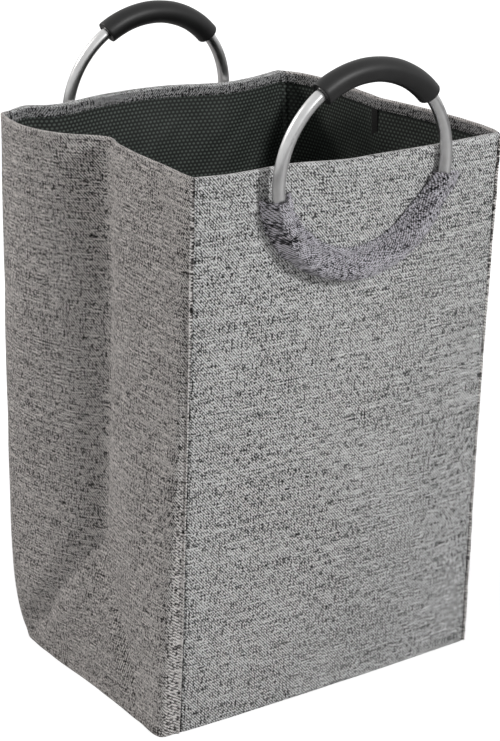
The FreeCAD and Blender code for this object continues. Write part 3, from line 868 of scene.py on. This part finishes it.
def sleeve_piece(face):
    """Bias-cut tunnel, gathered along both seams and left open at its two mouths."""
    start, end = SLEEVE_ARC
    length = (end - start) * RING_RADIUS
    seed = 51 if face == "front" else 57
    outwards = -1 if face == "front" else 1
    columns = [length * step / 320 for step in range(321)]
    edge_rows = (0, 0.008, 0.02, 0.035)
    rows = list(edge_rows) + [lerp(0.05, 0.95, step / 36) for step in range(37)]
    rows += [1 - row for row in reversed(edge_rows)]

    def gather_at(along, across):
        """Crumple of the gathered cloth, above 0 on a fold and below 0 in a valley."""
        sweep = along + 0.010 * (across - 0.5) ** 2
        crease = 1 - 3.2 * abs(ripple(sweep, across, 0.0105, 1.3, seed))
        return crease * 0.6 + 0.5 * ripple(sweep, across, 0.0050, 0.8, seed + 3)

    def pull_at(along):
        """How hard the seams gather the cloth: most at the left."""
        return lerp(1.4, 0.35, ease(along / length * 1.25))

    def place(along, across):
        share = along / length
        pull = pull_at(along)
        inner = SLEEVE_INNER + 0.012 * ease((share - 0.80) / 0.2)
        outer = SLEEVE_OUTER + 0.016 * ease((share - 0.84) / 0.16) - 0.005 * math.sin(share * math.pi) ** 2
        scallop = ripple(along, 0, 0.011, 1, seed + 5)
        radius = lerp(inner, outer, across) + 0.0011 * pull * scallop * (bell(across, 0.1) + bell(1 - across, 0.1))
        turn = start + along / RING_RADIUS
        off = min(along, length - along)
        droop = 0.0022 * ripple(across, 0, 0.25, 1, seed + 7) * bell(off, 0.006)
        point = sleeve_place(face, radius, turn + droop / radius)
        edge = min(across, 1 - across)
        rolled = 0.0011 * ease(edge / 0.012)
        pleat = 0.0032 * pull * (gather_at(along, across) + 0.1) * ease(edge / 0.10)
        point.y += outwards * (rolled + max(pleat, -0.0005))
        return point

    def weave(along, across):
        wide = (across - 0.5) * 0.052
        return (along * 0.95 + wide * 0.31, wide * 0.95 - along * 0.31)

    # Painted light and shade: lighter on the gathered folds and darker in their valleys, most at the left and
    # towards the outer seam; darker along both seams; a painted shadow along the inner seam over the right half.
    def tone_and_shade(along, across):
        edge = min(across, 1 - across)
        fold_light_and_shade = (gather_at(along, across) - 0.3) * (pull_at(along) - 0.2) * (0.35 + ease((across - 0.4) / 0.3))
        shadow = ease((along / length - 0.4) / 0.25) * bell(across - 0.16, 0.15)
        return 1.1 * fold_light_and_shade - 0.6 * bell(edge, 0.012) - 0.45 * shadow

    piece = cloth_grid(face + "_sleeve_cloth", columns, rows, place, weave, tone_and_shade)
    give_thickness(piece, 0.0008, -1)
    finish_piece(piece, face, sleeve_cloth, [face + "_handle_sleeve"])


for face in ("front", "back"):
    sleeve_piece(face)


# ---------------------------------------------------------------------------------------------
# Pieces that show as they were built get their finish here
# ---------------------------------------------------------------------------------------------
def refinish(node, material):
    shell = frame["nodes"][node]
    shell.data.materials.clear()
    shell.data.materials.append(material)


for node in ("base_board_front", "base_board_rear"):
    refinish(node, board)
for node in ("front_ring_joiner", "back_ring_joiner"):
    refinish(node, plastic)


# ---------------------------------------------------------------------------------------------
# Floor, light and camera
# ---------------------------------------------------------------------------------------------
def white_floor(name, near, far, colour):
    """A pale floor that shows white to the eye, least so near the middle, where it takes a shadow."""
    material = bpy.data.materials.new(name)
    material.use_nodes = True
    tree = material.node_tree
    tree.nodes.clear()
    output = tree.nodes.new("ShaderNodeOutputMaterial")
    plain = tree.nodes.new("ShaderNodeBsdfDiffuse")
    plain.inputs["Color"].default_value = colour
    bright = tree.nodes.new("ShaderNodeEmission")
    bright.inputs["Strength"].default_value = 2.0
    mix = tree.nodes.new("ShaderNodeMixShader")
    path = tree.nodes.new("ShaderNodeLightPath")
    seen = tree.nodes.new("ShaderNodeMath")
    seen.operation = "MULTIPLY"
    where = tree.nodes.new("ShaderNodeTexCoord")
    off = tree.nodes.new("ShaderNodeVectorMath")
    off.operation = "LENGTH"
    share = tree.nodes.new("ShaderNodeMapRange")
    share.inputs["From Min"].default_value = 0.35
    share.inputs["From Max"].default_value = 1.1
    share.inputs["To Min"].default_value = near
    share.inputs["To Max"].default_value = far
    tree.links.new(where.outputs["Object"], off.inputs[0])
    tree.links.new(off.outputs["Value"], share.inputs["Value"])
    tree.links.new(share.outputs[0], seen.inputs[1])
    tree.links.new(path.outputs["Is Camera Ray"], seen.inputs[0])
    tree.links.new(seen.outputs[0], mix.inputs[0])
    tree.links.new(plain.outputs[0], mix.inputs[1])
    tree.links.new(bright.outputs[0], mix.inputs[2])
    tree.links.new(mix.outputs[0], output.inputs[0])
    return material


def studio_floor():
    bm = bmesh.new()
    bmesh.ops.create_circle(bm, cap_ends=True, segments=64, radius=30)
    floor = object_from(bm, "studio_floor", smooth=False)
    floor.data.materials.append(white_floor("floor_white", 0.43, 0.6, (0.8, 0.8, 0.8, 1)))


def studio_world():
    world = bpy.data.worlds.new("studio")
    bpy.context.scene.world = world
    world.use_nodes = True
    tree = world.node_tree
    tree.nodes.clear()
    output = tree.nodes.new("ShaderNodeOutputWorld")
    ambient = tree.nodes.new("ShaderNodeBackground")
    ambient.inputs["Color"].default_value = (1, 1, 1, 1)
    seen = tree.nodes.new("ShaderNodeBackground")
    seen.inputs["Strength"].default_value = 1.0
    path = tree.nodes.new("ShaderNodeLightPath")
    strength = tree.nodes.new("ShaderNodeMath")
    strength.operation = "MULTIPLY_ADD"
    strength.inputs[1].default_value = 0.62
    strength.inputs[2].default_value = 0.16
    tree.links.new(path.outputs["Is Glossy Ray"], strength.inputs[0])
    tree.links.new(strength.outputs[0], ambient.inputs["Strength"])
    mix = tree.nodes.new("ShaderNodeMixShader")
    tree.links.new(path.outputs["Is Camera Ray"], mix.inputs[0])
    tree.links.new(ambient.outputs[0], mix.inputs[1])
    tree.links.new(seen.outputs[0], mix.inputs[2])
    tree.links.new(mix.outputs[0], output.inputs[0])


def soft_light(name, place, target, width, height, power, colour=(1, 1, 1)):
    lamp = bpy.data.lights.new(name, "AREA")
    lamp.shape = "RECTANGLE"
    lamp.size = width
    lamp.size_y = height
    lamp.energy = power
    lamp.color = colour
    holder = bpy.data.objects.new(name, lamp)
    holder.location = place
    holder.rotation_euler = (Vector(target) - Vector(place)).to_track_quat("-Z", "Y").to_euler()
    bpy.context.scene.collection.objects.link(holder)


def studio_camera():
    lens = bpy.data.cameras.new("camera")
    lens.lens = 106.3
    lens.sensor_width = 36
    eye = bpy.data.objects.new("camera", lens)
    target = Vector((0.0053, 0, 0.3205))
    azimuth, rise, distance = math.radians(-34.66), math.radians(19.15), 2.396
    back = Vector((math.sin(azimuth) * math.cos(rise), -math.cos(azimuth) * math.cos(rise), math.sin(rise)))
    eye.location = target + back * distance
    eye.rotation_euler = back.to_track_quat("Z", "Y").to_euler()
    bpy.context.scene.collection.objects.link(eye)
    bpy.context.scene.camera = eye


studio_floor()
studio_world()
soft_light("key", (0.9, -3.1, 2.0), (0, 0, 0.35), 0.36, 0.36, 43)
soft_light("fill", (-1.6, 1.9, 2.2), (0, 0, 0.3), 0.6, 0.6, 27, (1, 0.95, 0.92))
studio_camera()
bpy.context.scene.view_settings.view_transform = "Standard"
